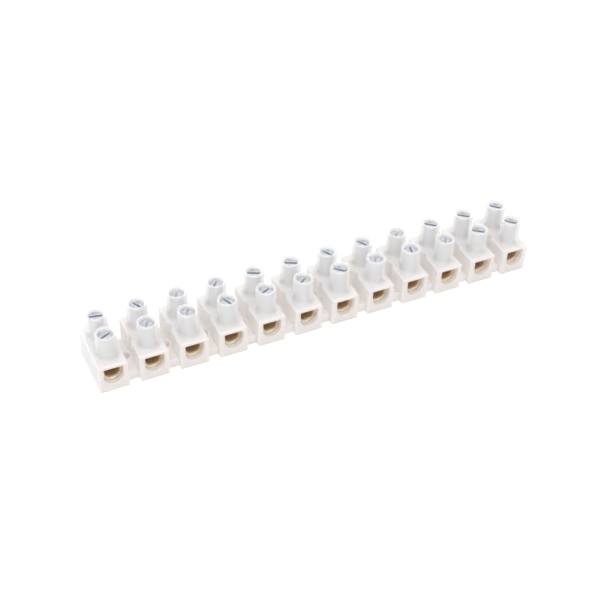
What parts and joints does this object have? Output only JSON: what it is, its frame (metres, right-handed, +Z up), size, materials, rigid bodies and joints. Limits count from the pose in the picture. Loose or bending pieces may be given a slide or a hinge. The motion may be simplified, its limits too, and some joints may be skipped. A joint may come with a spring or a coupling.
{
  "type": "pillar terminal strip",
  "caption": "Moulded translucent terminal strip with slotted clamp screws in towers over brass wire inserts, and a fixing hole in each web.",
  "frame": {"origin": "centre of the base, midway along the strip, at the bottom plane", "axes": "+X along the strip from pole 1 to pole 12, +Y from the front wire entries to the rear ones, +Z up along the screws"},
  "size_m": [0.1172, 0.0154, 0.0143],
  "materials": {
    "housing": "satin translucent natural plastic",
    "brass": "drawn, satin",
    "screw_steel": "bright zinc plated"
  },
  "bodies": {
    "strip": {"housing": "housing", "brass_insert_01": "brass", "brass_insert_02": "brass", "brass_insert_03": "brass", "brass_insert_04": "brass", "brass_insert_05": "brass", "brass_insert_06": "brass", "brass_insert_07": "brass", "brass_insert_08": "brass", "brass_insert_09": "brass", "brass_insert_10": "brass", "brass_insert_11": "brass", "brass_insert_12": "brass"},
    "front_screw_01": {"front_screw_01": "screw_steel"},
    "front_screw_02": {"front_screw_02": "screw_steel"},
    "front_screw_03": {"front_screw_03": "screw_steel"},
    "front_screw_04": {"front_screw_04": "screw_steel"},
    "front_screw_05": {"front_screw_05": "screw_steel"},
    "front_screw_06": {"front_screw_06": "screw_steel"},
    "front_screw_07": {"front_screw_07": "screw_steel"},
    "front_screw_08": {"front_screw_08": "screw_steel"},
    "front_screw_09": {"front_screw_09": "screw_steel"},
    "front_screw_10": {"front_screw_10": "screw_steel"},
    "front_screw_11": {"front_screw_11": "screw_steel"},
    "front_screw_12": {"front_screw_12": "screw_steel"},
    "rear_screw_01": {"rear_screw_01": "screw_steel"},
    "rear_screw_02": {"rear_screw_02": "screw_steel"},
    "rear_screw_03": {"rear_screw_03": "screw_steel"},
    "rear_screw_04": {"rear_screw_04": "screw_steel"},
    "rear_screw_05": {"rear_screw_05": "screw_steel"},
    "rear_screw_06": {"rear_screw_06": "screw_steel"},
    "rear_screw_07": {"rear_screw_07": "screw_steel"},
    "rear_screw_08": {"rear_screw_08": "screw_steel"},
    "rear_screw_09": {"rear_screw_09": "screw_steel"},
    "rear_screw_10": {"rear_screw_10": "screw_steel"},
    "rear_screw_11": {"rear_screw_11": "screw_steel"},
    "rear_screw_12": {"rear_screw_12": "screw_steel"}
  },
  "joints": [
    {"name": "front_screw_01_travel", "type": "slide", "parent": "strip", "child": "front_screw_01", "axis": [0, 0, 1], "range_m": [-0.0022, 0.0012]},
    {"name": "front_screw_02_travel", "type": "slide", "parent": "strip", "child": "front_screw_02", "axis": [0, 0, 1], "range_m": [-0.0022, 0.0012]},
    {"name": "front_screw_03_travel", "type": "slide", "parent": "strip", "child": "front_screw_03", "axis": [0, 0, 1], "range_m": [-0.0022, 0.0012]},
    {"name": "front_screw_04_travel", "type": "slide", "parent": "strip", "child": "front_screw_04", "axis": [0, 0, 1], "range_m": [-0.0022, 0.0012]},
    {"name": "front_screw_05_travel", "type": "slide", "parent": "strip", "child": "front_screw_05", "axis": [0, 0, 1], "range_m": [-0.0022, 0.0012]},
    {"name": "front_screw_06_travel", "type": "slide", "parent": "strip", "child": "front_screw_06", "axis": [0, 0, 1], "range_m": [-0.0022, 0.0012]},
    {"name": "front_screw_07_travel", "type": "slide", "parent": "strip", "child": "front_screw_07", "axis": [0, 0, 1], "range_m": [-0.0022, 0.0012]},
    {"name": "front_screw_08_travel", "type": "slide", "parent": "strip", "child": "front_screw_08", "axis": [0, 0, 1], "range_m": [-0.0022, 0.0012]},
    {"name": "front_screw_09_travel", "type": "slide", "parent": "strip", "child": "front_screw_09", "axis": [0, 0, 1], "range_m": [-0.0022, 0.0012]},
    {"name": "front_screw_10_travel", "type": "slide", "parent": "strip", "child": "front_screw_10", "axis": [0, 0, 1], "range_m": [-0.0022, 0.0012]},
    {"name": "front_screw_11_travel", "type": "slide", "parent": "strip", "child": "front_screw_11", "axis": [0, 0, 1], "range_m": [-0.0022, 0.0012]},
    {"name": "front_screw_12_travel", "type": "slide", "parent": "strip", "child": "front_screw_12", "axis": [0, 0, 1], "range_m": [-0.0022, 0.0012]},
    {"name": "rear_screw_01_travel", "type": "slide", "parent": "strip", "child": "rear_screw_01", "axis": [0, 0, 1], "range_m": [-0.0022, 0.0012]},
    {"name": "rear_screw_02_travel", "type": "slide", "parent": "strip", "child": "rear_screw_02", "axis": [0, 0, 1], "range_m": [-0.0022, 0.0012]},
    {"name": "rear_screw_03_travel", "type": "slide", "parent": "strip", "child": "rear_screw_03", "axis": [0, 0, 1], "range_m": [-0.0022, 0.0012]},
    {"name": "rear_screw_04_travel", "type": "slide", "parent": "strip", "child": "rear_screw_04", "axis": [0, 0, 1], "range_m": [-0.0022, 0.0012]},
    {"name": "rear_screw_05_travel", "type": "slide", "parent": "strip", "child": "rear_screw_05", "axis": [0, 0, 1], "range_m": [-0.0022, 0.0012]},
    {"name": "rear_screw_06_travel", "type": "slide", "parent": "strip", "child": "rear_screw_06", "axis": [0, 0, 1], "range_m": [-0.0022, 0.0012]},
    {"name": "rear_screw_07_travel", "type": "slide", "parent": "strip", "child": "rear_screw_07", "axis": [0, 0, 1], "range_m": [-0.0022, 0.0012]},
    {"name": "rear_screw_08_travel", "type": "slide", "parent": "strip", "child": "rear_screw_08", "axis": [0, 0, 1], "range_m": [-0.0022, 0.0012]},
    {"name": "rear_screw_09_travel", "type": "slide", "parent": "strip", "child": "rear_screw_09", "axis": [0, 0, 1], "range_m": [-0.0022, 0.0012]},
    {"name": "rear_screw_10_travel", "type": "slide", "parent": "strip", "child": "rear_screw_10", "axis": [0, 0, 1], "range_m": [-0.0022, 0.0012]},
    {"name": "rear_screw_11_travel", "type": "slide", "parent": "strip", "child": "rear_screw_11", "axis": [0, 0, 1], "range_m": [-0.0022, 0.0012]},
    {"name": "rear_screw_12_travel", "type": "slide", "parent": "strip", "child": "rear_screw_12", "axis": [0, 0, 1], "range_m": [-0.0022, 0.0012]}
  ]
}
